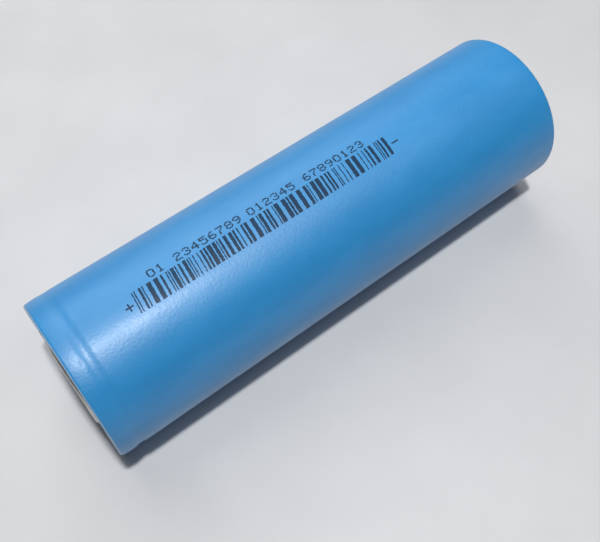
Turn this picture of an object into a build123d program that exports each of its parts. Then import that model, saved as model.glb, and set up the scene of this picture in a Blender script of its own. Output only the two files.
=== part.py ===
"""A sleeved 21700 lithium-ion cell, lying on its side with its positive terminal towards +X.

The origin is under the middle of the cell, on the surface that it lies on, with +Z up. Every round
piece is a revolved half section, drawn in the plane that holds the cell's axis. The two electrodes
and the two separators are wound as spirals of semicircles.
"""

from build123d import *
from math import asin, degrees
import os

os.makedirs("parts", exist_ok=True)

# Overall size, and the fit between round pieces that lie in each other
CELL_LENGTH = 70.2
CELL_RADIUS = 10.6
FIT_GAP = 0.02

# Shrink sleeve: thickness, the radii of its two end holes and the roundings over the two shoulders
FILM = 0.1
SLEEVE_HOLE_POSITIVE = 8.6
SLEEVE_HOLE_NEGATIVE = 8.9
SLEEVE_SHOULDER_POSITIVE = 0.5
SLEEVE_SHOULDER_NEGATIVE = 0.6
SLEEVE_SAG = 0.15
SLEEVE_SAG_HALF_WIDTH = 0.9
SLEEVE_SAG_ENTRY = 1.0
SLEEVE_SAG_FLOOR = 1.6

# Can: wall, bottom with its flat middle, crimp shoulder, crimp lip and the bead groove below the lid
CAN_WALL = 0.25
CAN_RADIUS = CELL_RADIUS - FILM - FIT_GAP
CAN_BOTTOM_CORNER = 0.5
CAN_BOTTOM_FLAT = 8.8
CAN_BOTTOM_FALL = 0.06
CAN_BOTTOM_BLEND = 4.0
CRIMP_SHOULDER = 1.0
CRIMP_LIP_RADIUS = 8.1
GROOVE_WIDTH = 1.0
GROOVE_DEPTH = 1.4
GROOVE_ENTRY = 0.3
GROOVE_ROOT = 0.4

# Stations along the axis, from the terminal's flat face inward
TERMINAL_PROUD = 0.22
CRIMP_BELOW_PLATEAU = 0.52
GROOVE_BELOW_PLATEAU = 2.9
PLATEAU_X = CELL_LENGTH / 2
SLEEVE_END_X = PLATEAU_X - TERMINAL_PROUD
WASHER_TOP_X = SLEEVE_END_X - FILM
CRIMP_TOP_X = PLATEAU_X - CRIMP_BELOW_PLATEAU
GROOVE_X = PLATEAU_X - GROOVE_BELOW_PLATEAU
BOTTOM_X = -CELL_LENGTH / 2 + FILM + FIT_GAP
INNER_RADIUS = CAN_RADIUS - CAN_WALL
INNER_BOTTOM_X = BOTTOM_X + CAN_WALL

# Insulating washer on the crimp
WASHER_THICKNESS = 0.18
WASHER_RADII = (7.5, 10.0)

# The clamped stack, from the crimp lip down to the ledge that the groove makes inside the can
GASKET_LEG = 0.2
DISC_CURL = 0.18
CAP_SHEET = 0.35
DISC_SHEET = 0.2
LEG_BOTTOM_X = CRIMP_TOP_X - CAN_WALL - GASKET_LEG
FLANGE_TOP_X = LEG_BOTTOM_X - DISC_CURL
FLANGE_BOTTOM_X = FLANGE_TOP_X - CAP_SHEET
DISC_BOTTOM_X = FLANGE_BOTTOM_X - DISC_SHEET
LEDGE_X = GROOVE_X + GROOVE_WIDTH / 2 + CAN_WALL

# Terminal cap, with its vent windows
CAP_RADIUS = 9.3
PLATEAU_RADIUS = 5.65
CAP_WALL_FOOT = 6.2
CAP_BEND = 0.45
VENT_WINDOWS = 4
FIRST_VENT_ANGLE = 45
VENT_WIDTH = 2.8
VENT_INNER = 5.2
VENT_OUTER = 6.9
VENT_TOP_X = PLATEAU_X - 0.5

# Safety disc: curled rim, scored flexing ring and the centre that snaps outward
DISC_RADIUS = CAP_RADIUS + FIT_GAP + DISC_SHEET
CURL_INNER = 8.6
DISC_WEB_RADII = (2.45, 6.2)
DISC_WEB_SHEET = 0.16
DISC_DISH = 0.5
SCORE_RADIUS = 4.9
SCORE_DEPTH = 0.07
BOSS_RADIUS = 2.4
BOSS_SHEET = 0.24
NUB_RADIUS = 0.8
BOSS_BOTTOM_X = DISC_BOTTOM_X - DISC_DISH

# Gasket: skirt through the can's neck and the lip that shows inside the crimp
NECK_RADIUS = CAN_RADIUS - GROOVE_DEPTH - CAN_WALL
SKIRT_WALL = 0.25
SKIRT_PAST_GROOVE = 0.4
SKIRT_RADIUS = NECK_RADIUS - FIT_GAP
SKIRT_END_X = GROOVE_X - SKIRT_PAST_GROOVE
GASKET_LIP_RADIUS = 7.1

# Weld disc under the safety disc, and the insulator that carries it
WELD_DISC_X = (32.35, 32.65)
WELD_DISC_RADIUS = 8.05
WELD_SPOT_RADIUS = 1.5
WELD_SPOT_DEPTH = 0.12
WELD_GAP = 0.04
PORTS = 6
PORT_RADIUS = 0.8
PORT_CIRCLE = 5.0
INSULATOR_RADII = (6.3, 8.5)
INSULATOR_LIP = 0.4
INSULATOR_LIP_END_X = 32.2

# Winding: separators, electrodes and the clearance between two layers
CORE_RADIUS = 1.8
SEPARATOR = 0.05
ELECTRODE = 0.2
LAYER_GAP = 0.02
PITCH = 2 * (SEPARATOR + ELECTRODE + 2 * LAYER_GAP)
SEPARATOR_X = (-34.0, 31.0)
ANODE_X = (-33.5, 30.5)
CATHODE_X = (-33.0, 30.0)
INNER_SEPARATOR_OFFSET = 0.0
ANODE_OFFSET = SEPARATOR + LAYER_GAP
OUTER_SEPARATOR_OFFSET = ANODE_OFFSET + ELECTRODE + LAYER_GAP
CATHODE_OFFSET = OUTER_SEPARATOR_OFFSET + SEPARATOR + LAYER_GAP
SEPARATOR_HALF_TURNS = (0, 27)
ANODE_HALF_TURNS = (1, 26)
CATHODE_HALF_TURNS = (2, 24)

# Tabs, their tapes and the bare windows in the electrodes that they lie in
TAB_WIDTH = 4.0
TAB_SHEET = 0.1
TAPE_SHEET = 0.03
BARE_FOIL = 0.03
TAPE_MARGIN = 0.4
WINDOW_MARGIN = 0.6
WINDOW_WIDTH = TAB_WIDTH + 2 * WINDOW_MARGIN
CATHODE_TAB_HALF_TURN = 16
CATHODE_TAB_X = (-15.0, 31.7)
CATHODE_TAB_FOLD_Z = -4.0
CATHODE_TAB_END_Z = 3.0
ANODE_TAB_HALF_TURN = 25
ANODE_TAB_X = (INNER_BOTTOM_X + FIT_GAP, 12.0)
ANODE_TAB_END_Z = 3.0

# Discs above and below the winding, and the tape round it
UPPER_INSULATOR_X = (31.1, 31.4)
LOWER_INSULATOR_X = (-34.45, -34.15)
INSULATOR_DISC_RADIUS = 10.1
CORE_HOLE_RADIUS = 1.6
GAS_HOLES = 6
GAS_HOLE_RADIUS = 0.9
GAS_HOLE_CIRCLE = 4.2
SLOT_CLEARANCE = 0.3
SLOT_DEPTH = 1.2
NOTCH_MARGIN = 0.9
END_TAPE_RADII = (10.14, 10.19)
END_TAPE_X = (-27.0, 27.0)

# The axis, the plane of the half sections (local x along the cell, local y outward)
CELL_AXIS = Axis((0, 0, CELL_RADIUS), (1, 0, 0))
HALF_SECTION = Plane(origin=(0, 0, CELL_RADIUS), x_dir=(1, 0, 0), z_dir=(0, -1, 0))


def cross_section(x):
    """The plane square to the cell's axis at station x: local x is +Y and local y is +Z."""
    return Plane(origin=(x, 0, CELL_RADIUS), x_dir=(0, 1, 0), z_dir=(1, 0, 0))


def half_turn_centre(index):
    """The centre of one semicircle of the winding. The upper and lower ones sit half a pitch apart."""
    return -PITCH / 4 if index % 2 == 0 else PITCH / 4


def half_turn_radius(index, offset):
    """The radius of one semicircle of the winding, for a layer surface at an offset."""
    return CORE_RADIUS + offset + index * PITCH / 2


def half_turn_arc(index, offset):
    """One semicircle of a layer's surface: the upper half for an even index, the lower for an odd one."""
    start = 0 if index % 2 == 0 else 180
    return CenterArc((half_turn_centre(index), 0), half_turn_radius(index, offset), start, 180)


def layer_face(station, half_turns, offset, thickness):
    """The end face of one wound layer, from its first semicircle to its last."""
    first, last = half_turns
    with BuildSketch(cross_section(station)) as face:
        with BuildLine():
            for index in range(first, last + 1):
                inner_arc = half_turn_arc(index, offset)
                outer_arc = half_turn_arc(index, offset + thickness)
                if index == first:
                    Line(inner_arc @ 0, outer_arc @ 0)
            Line(inner_arc @ 1, outer_arc @ 1)
        make_face()
    return face.sketch


def strip_face(station, index, inner_offset, outer_offset, width):
    """The end face of a strip that follows one half turn of the winding, centred on it."""
    centre = (half_turn_centre(index), 0)
    outer_radius = half_turn_radius(index, outer_offset)
    middle = 90 if index % 2 == 0 else 270
    sweep = 2 * degrees(asin(width / 2 / outer_radius))
    with BuildSketch(cross_section(station)) as face:
        with BuildLine():
            outer_arc = CenterArc(centre, outer_radius, middle - sweep / 2, sweep)
            inner_radius = half_turn_radius(index, inner_offset)
            inner_arc = CenterArc(centre, inner_radius, middle - sweep / 2, sweep)
            Line(inner_arc @ 0, outer_arc @ 0)
            Line(inner_arc @ 1, outer_arc @ 1)
        make_face()
    return face.sketch


def ring_section(stations, radii):
    """The half section of a plain ring."""
    with BuildSketch(HALF_SECTION) as section:
        with BuildLine():
            Polyline(
                (stations[0], radii[0]),
                (stations[1], radii[0]),
                (stations[1], radii[1]),
                (stations[0], radii[1]),
                close=True,
            )
        make_face()
    return section.sketch


def save(piece, name):
    """Labels a finished piece and writes its STEP file."""
    piece.part.label = name
    export_step(piece.part, f"parts/{name}.step")


# Shrink sleeve: one film, folded over both ends, that sags into the groove
with BuildPart() as shrink_sleeve:
    with BuildSketch(HALF_SECTION):
        with BuildLine():
            FilletPolyline(
                (-CELL_LENGTH / 2, SLEEVE_HOLE_NEGATIVE),
                (-CELL_LENGTH / 2, CELL_RADIUS),
                (GROOVE_X - SLEEVE_SAG_HALF_WIDTH, CELL_RADIUS),
                (GROOVE_X, CELL_RADIUS - SLEEVE_SAG),
                (GROOVE_X + SLEEVE_SAG_HALF_WIDTH, CELL_RADIUS),
                (SLEEVE_END_X, CELL_RADIUS),
                (SLEEVE_END_X, SLEEVE_HOLE_POSITIVE),
                radius=[
                    SLEEVE_SHOULDER_NEGATIVE,
                    SLEEVE_SAG_ENTRY,
                    SLEEVE_SAG_FLOOR,
                    SLEEVE_SAG_ENTRY,
                    SLEEVE_SHOULDER_POSITIVE,
                ],
            )
            offset(amount=FILM, side=Side.RIGHT)
        make_face()
    revolve(axis=CELL_AXIS)
save(shrink_sleeve, "shrink_sleeve")

# Washer of white fibre that lies on the crimp
with BuildPart() as end_washer:
    revolve(ring_section((WASHER_TOP_X - WASHER_THICKNESS, WASHER_TOP_X), WASHER_RADII), axis=CELL_AXIS)
save(end_washer, "end_washer")

# Can: deep-drawn sheet with a flat bottom, the bead groove and the crimped lip
with BuildPart() as can:
    with BuildSketch(HALF_SECTION):
        with BuildLine():
            FilletPolyline(
                (BOTTOM_X, 0),
                (BOTTOM_X, CAN_BOTTOM_FLAT),
                (BOTTOM_X + CAN_BOTTOM_FALL, CAN_RADIUS),
                (GROOVE_X - GROOVE_WIDTH / 2, CAN_RADIUS),
                (GROOVE_X - GROOVE_WIDTH / 2, CAN_RADIUS - GROOVE_DEPTH),
                (GROOVE_X + GROOVE_WIDTH / 2, CAN_RADIUS - GROOVE_DEPTH),
                (GROOVE_X + GROOVE_WIDTH / 2, CAN_RADIUS),
                (CRIMP_TOP_X, CAN_RADIUS),
                (CRIMP_TOP_X, CRIMP_LIP_RADIUS),
                radius=[
                    CAN_BOTTOM_BLEND,
                    CAN_BOTTOM_CORNER,
                    GROOVE_ENTRY,
                    GROOVE_ROOT,
                    GROOVE_ROOT,
                    GROOVE_ENTRY,
                    CRIMP_SHOULDER,
                ],
            )
            offset(amount=CAN_WALL, side=Side.RIGHT)
        make_face()
    revolve(axis=CELL_AXIS)
save(can, "can")

# Gasket: a leg under the crimp lip, a wall round the lid, a foot on the ledge and a skirt in the neck
with BuildPart() as crimp_gasket:
    with BuildSketch(HALF_SECTION):
        with BuildLine():
            gasket_outside = FilletPolyline(
                (SKIRT_END_X, SKIRT_RADIUS),
                (LEDGE_X, SKIRT_RADIUS),
                (LEDGE_X, INNER_RADIUS - FIT_GAP),
                (CRIMP_TOP_X - CAN_WALL, INNER_RADIUS - FIT_GAP),
                (CRIMP_TOP_X - CAN_WALL, GASKET_LIP_RADIUS),
                radius=[
                    GROOVE_ROOT + CAN_WALL + FIT_GAP,
                    GROOVE_ENTRY - CAN_WALL + FIT_GAP,
                    CRIMP_SHOULDER - CAN_WALL - FIT_GAP,
                ],
            )
            Polyline(
                gasket_outside @ 1,
                (LEG_BOTTOM_X, GASKET_LIP_RADIUS),
                (LEG_BOTTOM_X, DISC_RADIUS + FIT_GAP),
                (DISC_BOTTOM_X, DISC_RADIUS + FIT_GAP),
                (DISC_BOTTOM_X, SKIRT_RADIUS - SKIRT_WALL),
                (SKIRT_END_X, SKIRT_RADIUS - SKIRT_WALL),
                gasket_outside @ 0,
            )
        make_face()
    revolve(axis=CELL_AXIS)
save(crimp_gasket, "crimp_gasket")

# Terminal cap: a pressed hat with a flat plateau and windows at the foot of its wall
with BuildPart() as positive_cap:
    with BuildSketch(HALF_SECTION):
        with BuildLine():
            FilletPolyline(
                (FLANGE_TOP_X, CAP_RADIUS),
                (FLANGE_TOP_X, CAP_WALL_FOOT),
                (PLATEAU_X, PLATEAU_RADIUS),
                (PLATEAU_X, 0),
                radius=CAP_BEND,
            )
            offset(amount=CAP_SHEET, side=Side.RIGHT)
        make_face()
    revolve(axis=CELL_AXIS)
    with BuildSketch(cross_section(FLANGE_BOTTOM_X)):
        with PolarLocations((VENT_INNER + VENT_OUTER) / 2, VENT_WINDOWS, start_angle=FIRST_VENT_ANGLE):
            Rectangle(VENT_OUTER - VENT_INNER, VENT_WIDTH)
    extrude(amount=VENT_TOP_X - FLANGE_BOTTOM_X, mode=Mode.SUBTRACT)
save(positive_cap, "positive_cap")

# Safety disc's rim, curled round the cap's flange
with BuildPart() as vent_disc:
    with BuildSketch(HALF_SECTION):
        with BuildLine():
            Polyline(
                (DISC_BOTTOM_X, DISC_WEB_RADII[1]),
                (DISC_BOTTOM_X, DISC_RADIUS),
                (LEG_BOTTOM_X, DISC_RADIUS),
                (LEG_BOTTOM_X, CURL_INNER),
                (FLANGE_TOP_X, CURL_INNER),
                (FLANGE_TOP_X, CAP_RADIUS + FIT_GAP),
                (FLANGE_BOTTOM_X, CAP_RADIUS + FIT_GAP),
                (FLANGE_BOTTOM_X, DISC_WEB_RADII[1]),
                close=True,
            )
        make_face()
    revolve(axis=CELL_AXIS)
save(vent_disc, "vent_disc")

# Safety disc's flexing ring: a thin dished cone with a scored line round it
SCORE_FALL = DISC_DISH * (DISC_WEB_RADII[1] - SCORE_RADIUS) / (DISC_WEB_RADII[1] - DISC_WEB_RADII[0])
WEB_TOP_X = DISC_BOTTOM_X + DISC_WEB_SHEET
with BuildPart() as vent_disc_web:
    with BuildSketch(HALF_SECTION):
        with BuildLine():
            Polyline(
                (DISC_BOTTOM_X, DISC_WEB_RADII[1]),
                (WEB_TOP_X, DISC_WEB_RADII[1]),
                (WEB_TOP_X - SCORE_FALL, SCORE_RADIUS + SCORE_DEPTH),
                (WEB_TOP_X - SCORE_FALL - SCORE_DEPTH, SCORE_RADIUS),
                (WEB_TOP_X - SCORE_FALL, SCORE_RADIUS - SCORE_DEPTH),
                (WEB_TOP_X - DISC_DISH, DISC_WEB_RADII[0]),
                (DISC_BOTTOM_X - DISC_DISH, DISC_WEB_RADII[0]),
                close=True,
            )
        make_face()
    revolve(axis=CELL_AXIS)
save(vent_disc_web, "vent_disc_web")

# Safety disc's centre: a flat boss with the nub that is spot-welded to the weld disc
with BuildPart() as vent_disc_centre:
    with BuildSketch(HALF_SECTION):
        with BuildLine():
            Polyline(
                (WELD_DISC_X[1] - WELD_SPOT_DEPTH + WELD_GAP, 0),
                (WELD_DISC_X[1] - WELD_SPOT_DEPTH + WELD_GAP, NUB_RADIUS),
                (BOSS_BOTTOM_X, NUB_RADIUS),
                (BOSS_BOTTOM_X, BOSS_RADIUS),
                (BOSS_BOTTOM_X + BOSS_SHEET, BOSS_RADIUS),
                (BOSS_BOTTOM_X + BOSS_SHEET, 0),
                close=True,
            )
        make_face()
    revolve(axis=CELL_AXIS)
save(vent_disc_centre, "vent_disc_centre")

# Insulator between the safety disc and the weld disc
with BuildPart() as cid_insulator:
    with BuildSketch(HALF_SECTION):
        with BuildLine():
            Polyline(
                (DISC_BOTTOM_X, INSULATOR_RADII[0]),
                (DISC_BOTTOM_X, INSULATOR_RADII[1]),
                (INSULATOR_LIP_END_X, INSULATOR_RADII[1]),
                (INSULATOR_LIP_END_X, INSULATOR_RADII[1] - INSULATOR_LIP),
                (WELD_DISC_X[1], INSULATOR_RADII[1] - INSULATOR_LIP),
                (WELD_DISC_X[1], INSULATOR_RADII[0]),
                close=True,
            )
        make_face()
    revolve(axis=CELL_AXIS)
save(cid_insulator, "cid_insulator")

# Weld disc: a flat disc with gas ports and a thinned spot for the weld
with BuildPart() as weld_disc:
    with BuildSketch(cross_section(WELD_DISC_X[0])):
        Circle(WELD_DISC_RADIUS)
        with PolarLocations(PORT_CIRCLE, PORTS):
            Circle(PORT_RADIUS, mode=Mode.SUBTRACT)
    extrude(amount=WELD_DISC_X[1] - WELD_DISC_X[0])
    with BuildSketch(cross_section(WELD_DISC_X[1] - WELD_SPOT_DEPTH)):
        Circle(WELD_SPOT_RADIUS)
    extrude(amount=WELD_SPOT_DEPTH, mode=Mode.SUBTRACT)
save(weld_disc, "weld_disc")

# Upper insulator: punched for gas and slotted for the cathode tab
CATHODE_TAB_RADIUS = half_turn_radius(CATHODE_TAB_HALF_TURN, CATHODE_OFFSET + ELECTRODE)
with BuildPart() as upper_insulator:
    with BuildSketch(cross_section(UPPER_INSULATOR_X[0])):
        Circle(INSULATOR_DISC_RADIUS)
        Circle(CORE_HOLE_RADIUS, mode=Mode.SUBTRACT)
        with PolarLocations(GAS_HOLE_CIRCLE, GAS_HOLES):
            Circle(GAS_HOLE_RADIUS, mode=Mode.SUBTRACT)
        with Locations((half_turn_centre(CATHODE_TAB_HALF_TURN), CATHODE_TAB_RADIUS - SLOT_CLEARANCE)):
            Rectangle(TAB_WIDTH + 2 * SLOT_CLEARANCE, SLOT_DEPTH, mode=Mode.SUBTRACT)
    extrude(amount=UPPER_INSULATOR_X[1] - UPPER_INSULATOR_X[0])
save(upper_insulator, "upper_insulator")

# Lower insulator: open at the core and notched at its edge for the anode tab
ANODE_TAB_RADIUS = half_turn_radius(ANODE_TAB_HALF_TURN, ANODE_OFFSET + ELECTRODE)
NOTCH_DEPTH = INSULATOR_DISC_RADIUS - ANODE_TAB_RADIUS + NOTCH_MARGIN
with BuildPart() as lower_insulator:
    with BuildSketch(cross_section(LOWER_INSULATOR_X[0])):
        Circle(INSULATOR_DISC_RADIUS)
        Circle(CORE_HOLE_RADIUS, mode=Mode.SUBTRACT)
        with Locations((half_turn_centre(ANODE_TAB_HALF_TURN), -INSULATOR_DISC_RADIUS)):
            Rectangle(TAB_WIDTH + 2 * SLOT_CLEARANCE, 2 * NOTCH_DEPTH, mode=Mode.SUBTRACT)
    extrude(amount=LOWER_INSULATOR_X[1] - LOWER_INSULATOR_X[0])
save(lower_insulator, "lower_insulator")

# Separators: two films, longer than the electrodes at both ends and both edges
with BuildPart() as separator_inner:
    end_face = layer_face(SEPARATOR_X[0], SEPARATOR_HALF_TURNS, INNER_SEPARATOR_OFFSET, SEPARATOR)
    extrude(end_face, amount=SEPARATOR_X[1] - SEPARATOR_X[0])
save(separator_inner, "separator_inner")

with BuildPart() as separator_outer:
    end_face = layer_face(SEPARATOR_X[0], SEPARATOR_HALF_TURNS, OUTER_SEPARATOR_OFFSET, SEPARATOR)
    extrude(end_face, amount=SEPARATOR_X[1] - SEPARATOR_X[0])
save(separator_outer, "separator_outer")

# Anode: the last half turns have no cathode outside them, and its tab lies in a bare window there
ANODE_WINDOW_END_X = ANODE_TAB_X[1] + WINDOW_MARGIN
ANODE_WINDOW_FLOOR = ANODE_OFFSET + BARE_FOIL
ANODE_FACE = ANODE_OFFSET + ELECTRODE
with BuildPart() as anode_strip:
    end_face = layer_face(ANODE_X[0], ANODE_HALF_TURNS, ANODE_OFFSET, ELECTRODE)
    extrude(end_face, amount=ANODE_X[1] - ANODE_X[0])
    window = strip_face(ANODE_X[0], ANODE_TAB_HALF_TURN, ANODE_WINDOW_FLOOR, ANODE_FACE, WINDOW_WIDTH)
    extrude(window, amount=ANODE_WINDOW_END_X - ANODE_X[0], mode=Mode.SUBTRACT)
save(anode_strip, "anode_strip")

# Cathode: shorter and narrower than the anode, with its tab's bare window halfway along
CATHODE_WINDOW_START_X = CATHODE_TAB_X[0] - WINDOW_MARGIN
CATHODE_WINDOW_FLOOR = CATHODE_OFFSET + BARE_FOIL
CATHODE_FACE = CATHODE_OFFSET + ELECTRODE
with BuildPart() as cathode_strip:
    end_face = layer_face(CATHODE_X[0], CATHODE_HALF_TURNS, CATHODE_OFFSET, ELECTRODE)
    extrude(end_face, amount=CATHODE_X[1] - CATHODE_X[0])
    window = strip_face(
        CATHODE_WINDOW_START_X,
        CATHODE_TAB_HALF_TURN,
        CATHODE_WINDOW_FLOOR,
        CATHODE_FACE,
        WINDOW_WIDTH,
    )
    extrude(window, amount=CATHODE_X[1] - CATHODE_WINDOW_START_X, mode=Mode.SUBTRACT)
save(cathode_strip, "cathode_strip")

# Cathode tab: up out of the winding, then folded twice under the weld disc
CATHODE_TAB_FLOOR = CATHODE_WINDOW_FLOOR + LAYER_GAP
CATHODE_TAB_FACE = CATHODE_TAB_FLOOR + TAB_SHEET
CATHODE_FOLD_START_X = CATHODE_TAB_X[1] - TAB_SHEET
CATHODE_FOLD_END_X = WELD_DISC_X[0] - FIT_GAP
with BuildPart() as cathode_tab:
    strip = strip_face(
        CATHODE_TAB_X[0], CATHODE_TAB_HALF_TURN, CATHODE_TAB_FLOOR, CATHODE_TAB_FACE, TAB_WIDTH
    )
    extrude(strip, amount=CATHODE_TAB_X[1] - CATHODE_TAB_X[0])
    with BuildSketch(HALF_SECTION.offset(-half_turn_centre(CATHODE_TAB_HALF_TURN))):
        with BuildLine():
            lower_run = Line(
                (CATHODE_FOLD_START_X, CATHODE_TAB_RADIUS - TAB_SHEET),
                (CATHODE_FOLD_START_X, CATHODE_TAB_FOLD_Z),
            )
            fold = JernArc(
                start=lower_run @ 1,
                tangent=lower_run % 1,
                radius=(CATHODE_FOLD_END_X - CATHODE_FOLD_START_X) / 2,
                arc_size=180,
            )
            Line(fold @ 1, (CATHODE_FOLD_END_X, CATHODE_TAB_END_Z))
            offset(amount=TAB_SHEET, side=Side.LEFT)
        make_face()
    extrude(amount=TAB_WIDTH / 2, both=True)
save(cathode_tab, "cathode_tab")

# Anode tab: down out of the winding, then under the lower insulator to the middle of the can's bottom
ANODE_TAB_FLOOR = ANODE_WINDOW_FLOOR + LAYER_GAP
ANODE_TAB_FACE = ANODE_TAB_FLOOR + TAB_SHEET
FOOT_HALF_ANGLE = degrees(asin(TAB_WIDTH / 2 / ANODE_TAB_RADIUS))
with BuildPart() as anode_tab:
    strip = strip_face(ANODE_TAB_X[0], ANODE_TAB_HALF_TURN, ANODE_TAB_FLOOR, ANODE_TAB_FACE, TAB_WIDTH)
    extrude(strip, amount=ANODE_TAB_X[1] - ANODE_TAB_X[0])
    with BuildSketch(cross_section(ANODE_TAB_X[0])):
        with BuildLine():
            foot_edge = CenterArc(
                (half_turn_centre(ANODE_TAB_HALF_TURN), 0),
                half_turn_radius(ANODE_TAB_HALF_TURN, ANODE_TAB_FACE),
                270 - FOOT_HALF_ANGLE,
                2 * FOOT_HALF_ANGLE,
            )
            Polyline(
                foot_edge @ 1,
                ((foot_edge @ 1).X, ANODE_TAB_END_Z),
                ((foot_edge @ 0).X, ANODE_TAB_END_Z),
                foot_edge @ 0,
            )
        make_face()
    extrude(amount=TAB_SHEET)
save(anode_tab, "anode_tab")

# Tapes over both tabs, inside the winding
CATHODE_TAPE_FLOOR = CATHODE_TAB_FACE + LAYER_GAP
with BuildPart() as cathode_tab_tape:
    tape = strip_face(
        CATHODE_TAB_X[0] - TAPE_MARGIN,
        CATHODE_TAB_HALF_TURN,
        CATHODE_TAPE_FLOOR,
        CATHODE_TAPE_FLOOR + TAPE_SHEET,
        TAB_WIDTH + 2 * TAPE_MARGIN,
    )
    extrude(tape, amount=CATHODE_X[1] - CATHODE_TAB_X[0] + TAPE_MARGIN)
save(cathode_tab_tape, "cathode_tab_tape")

ANODE_TAPE_FLOOR = ANODE_TAB_FACE + LAYER_GAP
with BuildPart() as anode_tab_tape:
    tape = strip_face(
        ANODE_X[0],
        ANODE_TAB_HALF_TURN,
        ANODE_TAPE_FLOOR,
        ANODE_TAPE_FLOOR + TAPE_SHEET,
        TAB_WIDTH + 2 * TAPE_MARGIN,
    )
    extrude(tape, amount=ANODE_TAB_X[1] + TAPE_MARGIN - ANODE_X[0])
save(anode_tab_tape, "anode_tab_tape")

# Tape round the winding, which holds the separators' ends
with BuildPart() as roll_end_tape:
    revolve(ring_section(END_TAPE_X, END_TAPE_RADII), axis=CELL_AXIS)
save(roll_end_tape, "roll_end_tape")
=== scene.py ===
import math
import random

import bpy
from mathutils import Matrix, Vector


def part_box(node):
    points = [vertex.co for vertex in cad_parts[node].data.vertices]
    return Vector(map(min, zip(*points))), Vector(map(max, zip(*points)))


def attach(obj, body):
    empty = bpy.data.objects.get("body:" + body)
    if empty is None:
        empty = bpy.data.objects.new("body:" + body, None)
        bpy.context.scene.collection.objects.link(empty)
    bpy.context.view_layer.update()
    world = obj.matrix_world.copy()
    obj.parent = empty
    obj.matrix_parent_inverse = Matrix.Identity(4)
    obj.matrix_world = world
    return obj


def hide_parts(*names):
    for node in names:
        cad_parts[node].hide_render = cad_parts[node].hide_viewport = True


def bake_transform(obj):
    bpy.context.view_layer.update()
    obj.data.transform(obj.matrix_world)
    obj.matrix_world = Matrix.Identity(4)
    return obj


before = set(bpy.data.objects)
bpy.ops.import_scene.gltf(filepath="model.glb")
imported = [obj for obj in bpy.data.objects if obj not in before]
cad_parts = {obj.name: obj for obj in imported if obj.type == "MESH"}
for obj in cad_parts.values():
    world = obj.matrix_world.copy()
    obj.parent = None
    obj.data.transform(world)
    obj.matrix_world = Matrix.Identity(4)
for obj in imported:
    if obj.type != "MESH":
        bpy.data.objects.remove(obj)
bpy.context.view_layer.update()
MM = 0.001

# ---------------------------------------------------------------- where things are
film_lo, film_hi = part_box("shrink_sleeve")
web_lo, web_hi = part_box("vent_disc_web")
AXIS_Z = (film_lo[2] + film_hi[2]) / 2
FILM_R = (film_hi[2] - film_lo[2]) / 2
NEG_X = film_lo[0]
POS_X = film_hi[0]

# ---------------------------------------------------------------- camera
AIM = Vector((4.4 * MM, 4.34 * MM, AXIS_Z))
CAM_DISTANCE = 100.38 * MM
CAM_AZIMUTH = math.radians(142.58)
CAM_ELEVATION = math.radians(59.69)
LENS_MM = 47.32
SENSOR_MM = 36
CLIP_NEAR = 5 * MM
CLIP_FAR = 10
back = Vector(
    (
        math.sin(CAM_AZIMUTH) * math.cos(CAM_ELEVATION),
        -math.cos(CAM_AZIMUTH) * math.cos(CAM_ELEVATION),
        math.sin(CAM_ELEVATION),
    )
)
cam_data = bpy.data.cameras.new("camera")
cam_data.lens = LENS_MM
cam_data.sensor_width = SENSOR_MM
cam_data.clip_start = CLIP_NEAR
cam_data.clip_end = CLIP_FAR
cam = bpy.data.objects.new("camera", cam_data)
cam.location = AIM + back * CAM_DISTANCE
cam.rotation_mode = "QUATERNION"
cam.rotation_quaternion = (-back).to_track_quat("-Z", "Y")
bpy.context.collection.objects.link(cam)
bpy.context.scene.camera = cam
bpy.context.scene.view_settings.view_transform = "Standard"


# ---------------------------------------------------------------- materials
def rgb(r, g, b):
    """sRGB 0-255 to linear."""

    def one(c):
        c /= 255
        return c / 12.92 if c <= 0.04045 else ((c + 0.055) / 1.055) ** 2.4

    return (one(r), one(g), one(b), 1)


def material(name, metallic=0.0, roughness=0.5, **sockets):
    mat = bpy.data.materials.new(name)
    mat.use_nodes = True
    shader = mat.node_tree.nodes["Principled BSDF"]
    shader.inputs["Metallic"].default_value = metallic
    shader.inputs["Roughness"].default_value = roughness
    for key, value in sockets.items():
        shader.inputs[key.replace("_", " ")].default_value = value
    return mat


def node(mat, kind, **inputs):
    made = mat.node_tree.nodes.new(kind)
    for key, value in inputs.items():
        made.inputs[key.replace("_", " ")].default_value = value
    return made


def link(mat, out, inp):
    mat.node_tree.links.new(out, inp)


def shader_of(mat):
    return mat.node_tree.nodes["Principled BSDF"]


def object_space(mat):
    return node(mat, "ShaderNodeTexCoord").outputs["Object"]


def stretched_space(mat, stretch):
    """Object space in which a texture comes out longer by stretch along each axis."""
    place = object_space(mat)
    fit = node(mat, "ShaderNodeMapping")
    fit.inputs["Scale"].default_value = [1 / s for s in stretch]
    link(mat, place, fit.inputs["Vector"])
    return fit.outputs["Vector"]


NOISE_ROUGHNESS = 0.55


def noise(mat, size, detail=3.0, stretch=(1, 1, 1), distortion=0.0):
    """Noise in object space with lumps of about size metres, longer by stretch along each axis."""
    place = stretched_space(mat, stretch)
    made = node(mat, "ShaderNodeTexNoise", Scale=1 / size, Detail=detail, Distortion=distortion)
    made.inputs["Roughness"].default_value = NOISE_ROUGHNESS
    link(mat, place, made.inputs["Vector"])
    return made.outputs["Fac"]


def speckle(mat, size):
    """Cell pattern in object space: the distance to the nearest seed point."""
    place = object_space(mat)
    made = node(mat, "ShaderNodeTexVoronoi", Scale=1 / size)
    link(mat, place, made.inputs["Vector"])
    return made.outputs["Distance"]


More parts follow.
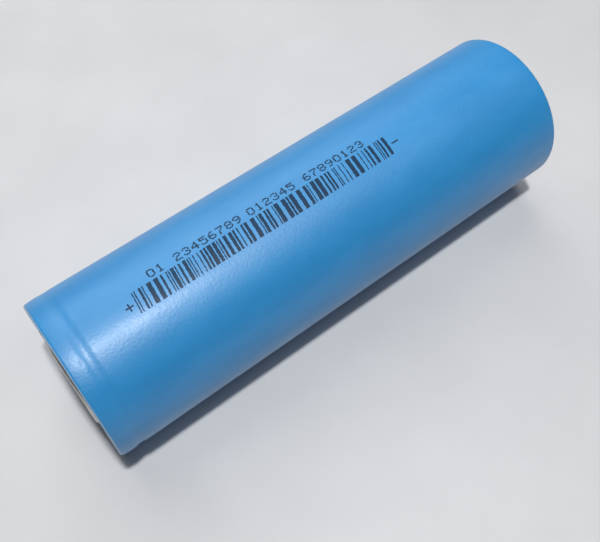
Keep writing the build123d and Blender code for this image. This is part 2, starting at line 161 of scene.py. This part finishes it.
def ramp(mat, fac, stops):
    """Colour ramp from (position, colour) stops."""
    made = node(mat, "ShaderNodeValToRGB")
    line = made.color_ramp
    while len(line.elements) < len(stops):
        line.elements.new(0.5)
    for element, (place, colour) in zip(line.elements, stops):
        element.position = place
        element.color = colour
    link(mat, fac, made.inputs["Fac"])
    return made.outputs["Color"]


def span(mat, fac, low, high, start=0.3, end=0.7):
    """Maps start..end of a value onto low..high; the defaults suit the middle of a noise."""
    made = node(mat, "ShaderNodeMapRange")
    for key, value in (("From Min", start), ("From Max", end), ("To Min", low), ("To Max", high)):
        made.inputs[key].default_value = value
    link(mat, fac, made.inputs["Value"])
    return made.outputs["Result"]


def product(mat, one, two):
    made = node(mat, "ShaderNodeMath")
    made.operation = "MULTIPLY"
    link(mat, one, made.inputs[0])
    link(mat, two, made.inputs[1])
    return made.outputs["Value"]


def bumps(mat, *layers):
    """Stacks (height, depth in metres, strength) bumps onto the shader's normal and its coat's."""
    before = None
    for height, depth, strength in layers:
        made = node(mat, "ShaderNodeBump", Strength=strength, Distance=depth)
        link(mat, height, made.inputs["Height"])
        if before is not None:
            link(mat, before, made.inputs["Normal"])
        before = made.outputs["Normal"]
    link(mat, before, shader_of(mat).inputs["Normal"])
    link(mat, before, shader_of(mat).inputs["Coat Normal"])


def colour_from(mat, colour):
    link(mat, colour, shader_of(mat).inputs["Base Color"])


def roughness_from(mat, value):
    link(mat, value, shader_of(mat).inputs["Roughness"])


# Blue heat-shrink film: satin gloss, faint orange peel, faint cloudiness
film_mat = material("sleeve_film", Specular_IOR_Level=0.6, Coat_Weight=0.4, Coat_Roughness=0.34)
film_colour = ramp(
    film_mat,
    noise(film_mat, 3.2 * MM, detail=4.0, stretch=(2.5, 1, 1)),
    [(0.3, rgb(36, 134, 197)), (0.5, rgb(40, 138, 201)), (0.72, rgb(45, 142, 205))],
)
# Painted highlight: the film is painted paler in patches along the positive fold's edge, where the edge
# catches light: near the end plane, and far enough from the axis to leave the flat part of the end alone
RIM_HIGHLIGHT_X = (POS_X - 0.22 * MM, POS_X - 0.05 * MM)
RIM_HIGHLIGHT_R = (FILM_R - 0.75 * MM, FILM_R - 0.4 * MM)
along = node(film_mat, "ShaderNodeSeparateXYZ")
link(film_mat, object_space(film_mat), along.inputs["Vector"])
rim_highlight_along = span(film_mat, along.outputs["X"], 0.0, 0.9, *RIM_HIGHLIGHT_X)
rim_highlight_patches = span(film_mat, noise(film_mat, 0.9 * MM, detail=3.0), 0.55, 1.0)
off_axis = node(film_mat, "ShaderNodeVectorMath")
off_axis.operation = "MULTIPLY_ADD"
off_axis.inputs[1].default_value = (0, 1, 1)
off_axis.inputs[2].default_value = (0, 0, -AXIS_Z)
link(film_mat, object_space(film_mat), off_axis.inputs[0])
off_length = node(film_mat, "ShaderNodeVectorMath")
off_length.operation = "LENGTH"
link(film_mat, off_axis.outputs["Vector"], off_length.inputs[0])
rim_highlight_off_axis = span(film_mat, off_length.outputs["Value"], 0.0, 1.0, *RIM_HIGHLIGHT_R)
# Mixes a pale colour into the film's own blue as a painted highlight along the positive fold's edge
painted_rim_highlight = node(film_mat, "ShaderNodeMixRGB", Color2=rgb(208, 220, 230))
link(film_mat, product(film_mat, rim_highlight_off_axis, product(film_mat, rim_highlight_along, rim_highlight_patches)), painted_rim_highlight.inputs["Fac"])
link(film_mat, film_colour, painted_rim_highlight.inputs["Color1"])
colour_from(film_mat, painted_rim_highlight.outputs["Color"])
film_gloss = noise(film_mat, 1.4 * MM, detail=5.0, stretch=(3, 1, 1))
roughness_from(film_mat, span(film_mat, film_gloss, 0.44, 0.54))
bumps(
    film_mat,
    (noise(film_mat, 1.3 * MM, detail=2.0, stretch=(1.8, 1, 1)), 0.012 * MM, 0.5),
    (noise(film_mat, 0.36 * MM, detail=3.0), 0.04 * MM, 0.6),
)

# Navy marking ink: slightly uneven cover
ink_mat = material("print_ink", Specular_IOR_Level=0.25)
colour_from(
    ink_mat,
    ramp(
        ink_mat,
        noise(ink_mat, 0.16 * MM, detail=4.0),
        [(0.3, rgb(8, 42, 70)), (0.55, rgb(13, 54, 84)), (0.8, rgb(26, 76, 112))],
    ),
)
roughness_from(ink_mat, span(ink_mat, noise(ink_mat, 0.1 * MM), 0.38, 0.55))
bumps(ink_mat, (noise(ink_mat, 0.08 * MM, detail=2.0), 0.004 * MM, 0.5))

# Vulcanised-fibre washer: off-white, short fibres
washer_mat = material("washer_fibre", Specular_IOR_Level=0.25)
colour_from(
    washer_mat,
    ramp(
        washer_mat,
        noise(washer_mat, 0.25 * MM, detail=6.0, stretch=(1, 3.0, 1.0), distortion=0.6),
        [(0.3, rgb(206, 203, 192)), (0.55, rgb(226, 224, 216)), (0.8, rgb(236, 235, 229))],
    ),
)
roughness_from(washer_mat, span(washer_mat, noise(washer_mat, 0.2 * MM, detail=5.0), 0.6, 0.8))
bumps(washer_mat, (noise(washer_mat, 0.12 * MM, detail=6.0, stretch=(1, 2.5, 1)), 0.02 * MM, 0.6))


def metal(name, dark, light, rough, grain, stretch, depth=0.004 * MM):
    """Sheet metal with drawn or rolled grain."""
    mat = material(name, metallic=1.0)
    patches = noise(mat, grain * 4, detail=4.0, stretch=stretch)
    colour_from(mat, ramp(mat, patches, [(0.3, dark), (0.7, light)]))
    roughness_from(mat, span(mat, noise(mat, grain, detail=5.0, stretch=stretch), *rough))
    streaks = noise(mat, grain, detail=4.0, stretch=stretch)
    bumps(mat, (streaks, depth, 0.5), (speckle(mat, grain * 6), depth, 0.2))
    return mat


nickel_mat = metal(
    "nickel_steel", rgb(188, 184, 178), rgb(222, 218, 212), (0.34, 0.46), 0.12 * MM, (1, 1.0, 6.0), 0.006 * MM
)
can_mat = metal(
    "can_steel", rgb(190, 188, 183), rgb(208, 206, 201), (0.28, 0.38), 0.1 * MM, (9.0, 1, 1), 0.0015 * MM
)
aluminium_mat = metal(
    "aluminium_sheet", rgb(196, 198, 200), rgb(226, 227, 229), (0.3, 0.45), 0.09 * MM, (1, 6.0, 1)
)
tab_mat = metal(
    "tab_strip", rgb(184, 183, 178), rgb(216, 215, 211), (0.28, 0.42), 0.07 * MM, (12.0, 1, 1)
)


def plastic(name, dark, light, rough, size):
    """Moulded or punched plastic: faintly mottled, finely pebbled."""
    mat = material(name, Specular_IOR_Level=0.4)
    colour_from(mat, ramp(mat, noise(mat, size * 5, detail=4.0), [(0.3, dark), (0.7, light)]))
    roughness_from(mat, span(mat, noise(mat, size * 2, detail=4.0), *rough))
    bumps(mat, (noise(mat, size, detail=3.0), 0.006 * MM, 0.5))
    return mat


gasket_mat = plastic("gasket_plastic", rgb(196, 198, 194), rgb(216, 217, 213), (0.45, 0.6), 0.15 * MM)
insulator_mat = plastic("insulator_plastic", rgb(222, 219, 204), rgb(238, 236, 224), (0.5, 0.65), 0.2 * MM)
separator_mat = plastic("separator_film", rgb(226, 228, 230), rgb(240, 241, 242), (0.35, 0.5), 0.1 * MM)


def coating(name, dark, light, size):
    """Battery coating: a fine dry powder layer with pin-sized clumps."""
    mat = material(name, Specular_IOR_Level=0.2)
    colour_from(mat, ramp(mat, noise(mat, size * 3, detail=6.0), [(0.3, dark), (0.75, light)]))
    roughness_from(mat, span(mat, noise(mat, size, detail=4.0), 0.75, 0.95))
    bumps(mat, (noise(mat, size, detail=6.0), 0.01 * MM, 0.6), (speckle(mat, size * 1.5), 0.006 * MM, 0.4))
    return mat


cathode_mat = coating("cathode_coating", rgb(34, 33, 35), rgb(52, 51, 54), 0.05 * MM)
anode_mat = coating("anode_coating", rgb(46, 47, 50), rgb(68, 69, 72), 0.06 * MM)


def tape(name, dark, light, size):
    """Polyimide or polyester tape: smooth, with faint drawing streaks."""
    mat = material(name, Specular_IOR_Level=0.5)
    streaks = noise(mat, size * 4, detail=3.0, stretch=(6, 1, 1))
    colour_from(mat, ramp(mat, streaks, [(0.3, dark), (0.7, light)]))
    roughness_from(mat, span(mat, noise(mat, size * 2, detail=4.0, stretch=(6, 1, 1)), 0.2, 0.34))
    bumps(mat, (noise(mat, size, detail=2.0, stretch=(4, 1, 1)), 0.004 * MM, 0.5))
    return mat


tab_tape_mat = tape("tab_tape", rgb(196, 128, 38), rgb(216, 152, 58), 0.2 * MM)
end_tape_mat = tape("end_tape", rgb(52, 118, 92), rgb(70, 138, 110), 0.25 * MM)

NODE_MATERIALS = {
    "shrink_sleeve": film_mat,
    "end_washer": washer_mat,
    "can": can_mat,
    "crimp_gasket": gasket_mat,
    "positive_cap": nickel_mat,
    "vent_disc": aluminium_mat,
    "vent_disc_web": aluminium_mat,
    "vent_disc_centre": aluminium_mat,
    "cid_insulator": insulator_mat,
    "weld_disc": aluminium_mat,
    "upper_insulator": insulator_mat,
    "lower_insulator": insulator_mat,
    "separator_inner": separator_mat,
    "separator_outer": separator_mat,
    "anode_strip": anode_mat,
    "cathode_strip": cathode_mat,
    "cathode_tab": tab_mat,
    "anode_tab": tab_mat,
    "cathode_tab_tape": tab_tape_mat,
    "anode_tab_tape": tab_tape_mat,
    "roll_end_tape": end_tape_mat,
}
for name, mat in NODE_MATERIALS.items():
    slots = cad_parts[name].data.materials
    slots.clear()
    slots.append(mat)


# ---------------------------------------------------------------- the film's shape
def smooth(t):
    """0 up to t = 0, 1 from t = 1 on, and a smooth step between."""
    t = min(1.0, max(0.0, t))
    return t * t * (3 - 2 * t)


def hump(t):
    """1 at t = 0, falling smoothly to 0 at t = -1 and 1."""
    return 0.5 + 0.5 * math.cos(math.pi * t) if abs(t) < 1 else 0.0


rng = random.Random(21)


def waves(count, low, high):
    """A smooth random function of the angle round the cell, between about -1 and 1."""
    terms = [
        (rng.randint(low, high), rng.uniform(0, 2 * math.pi), rng.uniform(0.4, 1.0))
        for _ in range(count)
    ]
    total = sum(w for _, _, w in terms) ** 0.5 * 1.2

    def at(angle):
        return sum(w * math.sin(n * angle + p) for n, p, w in terms) / total

    return at


# The sag over the bead groove: its distance back from the positive fold, half width and depth, how far
# it wanders, how uneven its depth is, and the side where the film is pulled taut and hardly sags
SAG_BACK = 2.68 * MM
SAG_HALF = 1.0 * MM
SAG_DEPTH = 0.12 * MM
SAG_WANDER = 0.04 * MM
SAG_UNEVEN = 0.12
TAUT_AT = math.radians(-80)
TAUT_SPREAD = math.radians(60)
TAUT_SHARE = 0.8
# The fall of the wall from the crimp's shoulder to the positive fold
CROWN_BACK = 1.6 * MM
CROWN_DROP = 0.065 * MM
# Slow waves of the long wall, which start behind the groove
BELLY_DEPTH = 0.004 * MM
BELLY_FROM = POS_X - 5 * MM
BELLY_BLEND = 4 * MM
LONG_WAVE = 9.0 * MM
SHORT_WAVE = 4.1 * MM
SHORT_WAVE_SHARE = 0.6
# Roundings and holes of the two ends, and the film's thickness
ROUND_POS = 0.5 * MM
ROUND_NEG = 0.6 * MM
HOLE_POS = 8.6 * MM
HOLE_NEG = 8.9 * MM
FILM_T = 0.1 * MM
# Gathers of the folded ends and the wander of the cut edge. A fold's depth runs from 0 at the shoulder
# to 1 at the cut edge, and the rounding takes its first part
ROUNDING_PART = 0.35
GATHER_START = 0.12
GATHER_BLEND = 0.6
GATHER_COARSE = 0.022 * MM
GATHER_FINE = 0.016 * MM
GATHER_SINK = 0.038 * MM
CUT_START = 0.5
CUT_WANDER = 0.16 * MM

pos_pucker = waves(9, 14, 34)
pos_fine = waves(9, 40, 74)
neg_pucker = waves(9, 12, 30)
neg_fine = waves(9, 36, 70)
pos_edge = waves(6, 3, 17)
neg_edge = waves(6, 3, 15)
sag_drift = waves(4, 1, 4)
sag_deep = waves(5, 2, 9)
belly = waves(4, 2, 5)

# Small dents where the film drew in: (distance back from the positive fold, angle from the top, length
# along the cell, width round it, depth)
KINKS = [
    (1.76 * MM, math.radians(21.8), 0.2 * MM, 0.4 * MM, 0.035 * MM),
    (1.7 * MM, math.radians(1.2), 0.25 * MM, 0.5 * MM, 0.015 * MM),
    (3.7 * MM, math.radians(101), 0.25 * MM, 0.8 * MM, 0.04 * MM),
    (2.2 * MM, math.radians(101), 0.25 * MM, 0.7 * MM, 0.04 * MM),
    (1.3 * MM, math.radians(58), 0.3 * MM, 0.6 * MM, 0.025 * MM),
    (1.2 * MM, math.radians(-41), 0.3 * MM, 0.6 * MM, 0.03 * MM),
    (1.25 * MM, math.radians(-96), 0.35 * MM, 0.7 * MM, 0.035 * MM),
    (1.2 * MM, math.radians(141), 0.3 * MM, 0.6 * MM, 0.03 * MM),
    (1.2 * MM, math.radians(-150), 0.3 * MM, 0.6 * MM, 0.03 * MM),
]


def wall_radius(x, angle):
    """Outer radius of the film's wall, between the two rounded shoulders."""
    sag = hump((x - (POS_X - SAG_BACK) - SAG_WANDER * sag_drift(angle)) / SAG_HALF)
    taut = math.exp(-((math.remainder(angle - TAUT_AT, 2 * math.pi) / TAUT_SPREAD) ** 2))
    r = FILM_R - SAG_DEPTH * (1 + SAG_UNEVEN * sag_deep(angle)) * (1 - TAUT_SHARE * taut) * sag
    for back_off, at, length, width, depth in KINKS:
        u = (x - (POS_X - back_off)) / length
        v = math.remainder(angle - at, 2 * math.pi) * FILM_R / width
        r -= depth * math.exp(-u * u - v * v)
    r -= CROWN_DROP * max(0.0, (x - (POS_X - CROWN_BACK)) / (CROWN_BACK - ROUND_POS)) ** 2
    slow = math.sin(x / LONG_WAVE + 1.3) * belly(angle)
    slow += SHORT_WAVE_SHARE * math.sin(x / SHORT_WAVE) * belly(2.0 - angle)
    return r - BELLY_DEPTH * (1 + slow) * smooth((BELLY_FROM - x) / BELLY_BLEND)


def film_point(x, r, angle):
    """A point at radius r from the cell's axis, with the angle counted from the top."""
    return (x, r * math.sin(angle), AXIS_Z + r * math.cos(angle))


FLAT_STEPS = 12


def end_profile(fold_x, side, corner, hole, steps):
    """Fold of one end as (x, radius, depth into the fold), from the shoulder's start to the cut edge."""
    line = []
    for i in range(1, steps + 1):
        a = math.pi / 2 * i / steps
        x = fold_x - side * corner * (1 - math.sin(a))
        line.append((x, FILM_R - corner * (1 - math.cos(a)), ROUNDING_PART * i / steps))
    flat = FILM_R - corner - hole
    for i in range(1, FLAT_STEPS + 1):
        depth = ROUNDING_PART + (1 - ROUNDING_PART) * i / FLAT_STEPS
        line.append((fold_x, FILM_R - corner - flat * i / FLAT_STEPS, depth))
    return line


def end_point(side, x, r, depth, angle):
    """Adds the gathers and the uneven cut edge to a fold point."""
    if side > 0:
        pucker, fine, edge = pos_pucker, pos_fine, pos_edge
    else:
        pucker, fine, edge = neg_pucker, neg_fine, neg_edge
    gather = smooth((depth - GATHER_START) / GATHER_BLEND)
    lift = gather * (GATHER_COARSE * pucker(angle) + GATHER_FINE * fine(angle) - GATHER_SINK)
    cut = smooth((depth - CUT_START) / (1 - CUT_START)) * CUT_WANDER * edge(angle)
    return x + side * lift, r + cut


# The film's mesh: points round the cell, spacing along the plain wall and along the grooved stretch,
# and steps in the two roundings. The inside skips some rows of the outside
AROUND = 336
WALL_STEP = 1.5 * MM
GROOVE_STEP = 0.075 * MM
GROOVE_STRETCH = 6.5 * MM
NEG_STEPS = 9
POS_STEPS = 11
INNER_WALL_SKIP = 4
INNER_FOLD_SKIP = 2
CLOSE = 0.001 * MM


def film_mesh():
    """The sleeve as one closed skin: outside from fold to fold, then back along the inside."""
    wall_a = NEG_X + ROUND_NEG
    wall_b = POS_X - ROUND_POS
    stations = []
    x = wall_a
    while x < wall_b - CLOSE:
        stations.append(x)
        x += WALL_STEP if x < POS_X - GROOVE_STRETCH else GROOVE_STEP
    stations.append(wall_b)
    rows = []
    neg = end_profile(NEG_X, -1, ROUND_NEG, HOLE_NEG, NEG_STEPS)
    pos = end_profile(POS_X, 1, ROUND_POS, HOLE_POS, POS_STEPS)
    angles = [2 * math.pi * k / AROUND for k in range(AROUND)]

    def end_row(side, item, inset):
        x, r, depth = item
        row = []
        for a in angles:
            px, pr = end_point(side, x, r, depth, a)
            base = wall_radius(wall_a if side < 0 else wall_b, a) - FILM_R
            fade = 1 - smooth(depth / ROUNDING_PART)
            lean = min(1.0, depth / ROUNDING_PART) * math.pi / 2
            px -= side * inset * math.sin(lean)
            pr += base * fade - inset * math.cos(lean)
            row.append(film_point(px, pr, a))
        return row

    def wall_row(x, inset):
        return [film_point(x, wall_radius(x, a) - inset, a) for a in angles]

    for item in reversed(neg):
        rows.append(end_row(-1, item, 0))
    for x in stations:
        rows.append(wall_row(x, 0))
    for item in pos:
        rows.append(end_row(1, item, 0))
    for item in reversed(pos[1::INNER_FOLD_SKIP]):
        rows.append(end_row(1, item, FILM_T))
    for x in reversed(stations[::INNER_WALL_SKIP]):
        rows.append(wall_row(x, FILM_T))
    for item in neg[1::INNER_FOLD_SKIP]:
        rows.append(end_row(-1, item, FILM_T))
    verts = [p for row in rows for p in row]
    faces = []
    count = len(rows)
    for i in range(count):
        a0, b0 = i * AROUND, (i + 1) % count * AROUND
        for k in range(AROUND):
            k2 = (k + 1) % AROUND
            faces.append((a0 + k, b0 + k, b0 + k2, a0 + k2))
    return verts, faces


def piece(name, verts, faces, mat, smooth_faces=True):
    mesh = bpy.data.meshes.new(name)
    mesh.from_pydata(verts, [], faces)
    mesh.materials.append(mat)
    if smooth_faces:
        mesh.polygons.foreach_set("use_smooth", [True] * len(mesh.polygons))
    mesh.update()
    made = bpy.data.objects.new(name, mesh)
    bpy.context.collection.objects.link(made)
    return made


sleeve = piece("film", *film_mesh(), film_mat)
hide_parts("shrink_sleeve")
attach(sleeve, "cell")

# ---------------------------------------------------------------- the print
INK_LOW = -0.002 * MM
INK_HIGH = 0.008 * MM
STROKE_BEVEL = 0.1
DOT_SIDES = 9
DOT_CROWN = 0.75


class Marks:
    """Collects raised ink marks that follow the film."""

    def __init__(self):
        self.verts = []
        self.faces = []

    def put(self, x, arc, height):
        angle = arc / FILM_R
        self.verts.append(film_point(x, wall_radius(x, angle) + height, angle))
        return len(self.verts) - 1

    def stroke(self, rows):
        """A strip through rows of (x from, x to, arc), with rounded-off edges."""
        loops = []
        for x0, x1, arc in rows:
            loops.append(
                (
                    self.put(x0, arc, INK_LOW),
                    self.put(x0 + STROKE_BEVEL * (x1 - x0), arc, INK_HIGH),
                    self.put(x1 - STROKE_BEVEL * (x1 - x0), arc, INK_HIGH),
                    self.put(x1, arc, INK_LOW),
                )
            )
        for a, b in zip(loops, loops[1:]):
            for k in range(4):
                j = (k + 1) % 4
                self.faces.append((a[k], a[j], b[j], b[k]))
        self.faces.append(tuple(reversed(loops[0])))
        self.faces.append(loops[-1])

    def dot(self, x, arc, radius):
        """A domed spot of ink with an uneven edge."""
        low, high = [], []
        turn = rng.uniform(0, 1)
        for k in range(DOT_SIDES):
            a = 2 * math.pi * (k + turn) / DOT_SIDES
            r = radius * rng.uniform(0.86, 1.1)
            top_r = DOT_CROWN * r
            low.append(self.put(x + r * math.cos(a), arc + r * math.sin(a), INK_LOW))
            high.append(self.put(x + top_r * math.cos(a), arc + top_r * math.sin(a), INK_HIGH))
        for k in range(DOT_SIDES):
            j = (k + 1) % DOT_SIDES
            self.faces.append((low[k], high[k], high[j], low[j]))
        self.faces.append(tuple(reversed(high)))
        self.faces.append(tuple(low))


# Bars: where they run, as the arc from the cell's top line and as x, then the narrowest bar, how much
# the ink shrinks, the lean, and the raggedness
BAR_TOP = 0.2 * MM
BAR_FOOT = 2.88 * MM
BAR_FIRST_X = POS_X - 10.18 * MM
BAR_LAST_X = POS_X - 47.08 * MM
MODULE = 0.15 * MM
INK_SHRINK = 0.98
BAR_LEAN = 0.1
BAR_STEPS = 20
BAR_WANDER = 0.02 * MM
BAR_ROUGH = 0.034 * MM
BAR_LEAST = 0.05 * MM


def bar_code():
    """A made-up bar pattern: seeded widths, no code that can be read."""
    marks = Marks()
    x = BAR_FIRST_X
    while x > BAR_LAST_X + 4 * MODULE:
        width = rng.choice((1, 1, 1, 2, 2, 3, 4)) * MODULE * INK_SHRINK
        rows = []
        wander = rng.uniform(-BAR_WANDER, BAR_WANDER)
        for i in range(BAR_STEPS + 1):
            arc = BAR_TOP + (BAR_FOOT - BAR_TOP) * i / BAR_STEPS
            arc += rng.uniform(-BAR_WANDER, BAR_WANDER)
            lean = (arc - BAR_TOP) * BAR_LEAN + wander * math.sin(3 * i / BAR_STEPS)
            left = x - width + lean + rng.uniform(-BAR_ROUGH, BAR_ROUGH)
            right = x + lean + rng.uniform(-BAR_ROUGH, BAR_ROUGH)
            rows.append((left, max(right, left + BAR_LEAST), arc))
        marks.stroke(rows)
        x -= width + rng.choice((1, 1, 2, 2, 3)) * MODULE
    return marks


# Each digit as seven rows of five dots
DIGITS = {
    "0": "01110 10001 10001 10001 10001 10001 01110",
    "1": "00100 01100 00100 00100 00100 00100 01110",
    "2": "01110 10001 00001 00110 01000 10000 11111",
    "3": "01110 10001 00001 00110 00001 10001 01110",
    "4": "00010 00110 01010 10010 11111 00010 00010",
    "5": "11111 10000 11110 00001 00001 10001 01110",
    "6": "00110 01000 10000 11110 10001 10001 01110",
    "7": "11111 00001 00010 00100 01000 01000 01000",
    "8": "01110 10001 10001 01110 10001 10001 01110",
    "9": "01110 10001 10001 01111 00001 00010 01100",
}
DIGIT_TOP = -1.16 * MM
DIGIT_FOOT = -0.22 * MM
DIGIT_WIDTH = 0.72 * MM
DIGIT_PITCH = 1.17 * MM
DIGIT_DOT = 0.125 * MM
DOT_JITTER = 0.012 * MM
# Groups of digits, each with the x of its first column
GROUPS = [
    (POS_X - 12.98 * MM, "01"),
    (POS_X - 16.53 * MM, "23456789"),
    (POS_X - 26.68 * MM, "012345"),
    (POS_X - 34.91 * MM, "67890123"),
]


def digit_row():
    """Counting digits in 5 by 7 dots, as filler for a serial number."""
    marks = Marks()
    for first_x, text in GROUPS:
        for place, digit in enumerate(text):
            for row, line in enumerate(DIGITS[digit].split()):
                for column, on in enumerate(line):
                    if on == "1":
                        x = first_x - place * DIGIT_PITCH - column * DIGIT_WIDTH / 4
                        arc = DIGIT_TOP + (DIGIT_FOOT - DIGIT_TOP) * row / 6
                        marks.dot(
                            x + rng.uniform(-DOT_JITTER, DOT_JITTER),
                            arc + rng.uniform(-DOT_JITTER, DOT_JITTER),
                            DIGIT_DOT * rng.uniform(0.88, 1.05),
                        )
    return marks


PLUS_X = POS_X - 9.2 * MM
PLUS_ARC = 1.62 * MM
MINUS_X = POS_X - 47.33 * MM
MINUS_ARC = 1.6 * MM
SIGN_REACH = 0.42 * MM
SIGN_DOT = 0.12 * MM


def polarity():
    """Plus and minus signs, seven dots to a stroke, at the two ends of the print."""
    marks = Marks()
    for k in range(-3, 4):
        off = k * SIGN_REACH / 3
        marks.dot(PLUS_X + off, PLUS_ARC, SIGN_DOT)
        if k:
            marks.dot(PLUS_X, PLUS_ARC + off, SIGN_DOT)
        marks.dot(MINUS_X + off, MINUS_ARC, SIGN_DOT)
    return marks


for name, marks in (("print_bars", bar_code()), ("print_digits", digit_row()), ("print_signs", polarity())):
    made = piece(name, marks.verts, marks.faces, ink_mat, smooth_faces=False)
    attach(made, "cell")


# ---------------------------------------------------------------- the safety disc's flexing web
WEB_SHEET = 0.16 * MM
WEB_INNER_R = 2.45 * MM
WEB_STEPS = 26
WEB_AROUND = 144
SCORE_R = 4.9 * MM
SCORE_DEPTH = 0.07 * MM
SCORE_HALF = 0.11 * MM


def web_mesh():
    """The dished ring between the disc's rim and centre, with the score line in its outer face."""
    outer_r = (web_hi[2] - web_lo[2]) / 2
    width = outer_r - WEB_INNER_R
    dish = web_hi[0] - web_lo[0] - WEB_SHEET
    under = []
    top = []
    for i in range(WEB_STEPS + 1):
        r = WEB_INNER_R + width * i / WEB_STEPS
        cut = SCORE_DEPTH * hump((r - SCORE_R) / SCORE_HALF)
        under.append((web_lo[0] + dish * i / WEB_STEPS, r))
        top.append((web_lo[0] + WEB_SHEET + dish * i / WEB_STEPS - cut, r))
    for part in (-1, -0.5, 0.0, 0.5, 1):
        r = SCORE_R + part * SCORE_HALF
        cut = SCORE_DEPTH * hump(part)
        top.append((web_lo[0] + WEB_SHEET + dish * (r - WEB_INNER_R) / width - cut, r))
    top.sort(key=lambda point: point[1])
    ring = under + top[::-1]
    verts = []
    for x, r in ring:
        for k in range(WEB_AROUND):
            verts.append(film_point(x, r, 2 * math.pi * k / WEB_AROUND))
    faces = []
    for i in range(len(ring)):
        a0, b0 = i * WEB_AROUND, (i + 1) % len(ring) * WEB_AROUND
        for k in range(WEB_AROUND):
            k2 = (k + 1) % WEB_AROUND
            faces.append((a0 + k, a0 + k2, b0 + k2, b0 + k))
    return verts, faces


web = piece("disc_web", *web_mesh(), aluminium_mat)
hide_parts("vent_disc_web")
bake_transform(web)

# ---------------------------------------------------------------- floor and light
floor_mat = material("floor_board", Specular_IOR_Level=0.35)
colour_from(
    floor_mat,
    ramp(
        floor_mat,
        noise(floor_mat, 22 * MM, detail=5.0),
        [(0.3, rgb(199, 200, 202)), (0.5, rgb(203, 204, 206)), (0.72, rgb(207, 208, 210))],
    ),
)
roughness_from(floor_mat, span(floor_mat, noise(floor_mat, 6 * MM, detail=4.0), 0.42, 0.5))
bumps(floor_mat, (noise(floor_mat, 0.8 * MM, detail=3.0), 0.01 * MM, 0.3))
HALF_FLOOR = 1.5
FLOOR_CELLS = 24


def floor_mesh():
    """A square of cells in the plane that the cell lies on."""
    across = range(FLOOR_CELLS + 1)
    places = [HALF_FLOOR * (2 * i / FLOOR_CELLS - 1) for i in across]
    verts = [(x, y, 0.0) for x in places for y in places]
    row = FLOOR_CELLS + 1
    corners = [i * row + j for i in range(FLOOR_CELLS) for j in range(FLOOR_CELLS)]
    faces = [(c, c + row, c + row + 1, c + 1) for c in corners]
    return verts, faces


floor = piece("floor", *floor_mesh(), floor_mat)


def area_light(name, direction, distance, size, power, colour=(1, 1, 1)):
    """A round light at a distance from the middle of the cell, turned towards it."""
    light = bpy.data.lights.new(name, "AREA")
    light.shape = "DISK"
    light.size = size
    light.energy = power
    light.color = colour
    made = bpy.data.objects.new(name, light)
    toward = Vector(direction).normalized()
    made.location = Vector((0, 0, AXIS_Z)) + toward * distance
    made.rotation_mode = "QUATERNION"
    made.rotation_quaternion = toward.to_track_quat("Z", "Y")
    bpy.context.collection.objects.link(made)


area_light("key", (0.034, 0.16, 0.98), 0.5, 0.035, 1.9)
area_light("beside_key", (-0.05, 0.33, 0.94), 0.6, 0.28, 0.42)
area_light("ceiling", (-0.1, -0.5, 0.86), 0.55, 0.5, 0.77, (0.99, 0.99, 1.0))
area_light("far_window", (-0.18, -0.8, 0.56), 0.6, 0.5, 0.9)

WORLD_COLOUR = (0.86, 0.92, 1.0, 1)
WORLD_STRENGTH = 0.015
world = bpy.data.worlds.new("studio")
world.use_nodes = True
world.node_tree.nodes["Background"].inputs["Color"].default_value = WORLD_COLOUR
world.node_tree.nodes["Background"].inputs["Strength"].default_value = WORLD_STRENGTH
bpy.context.scene.world = world
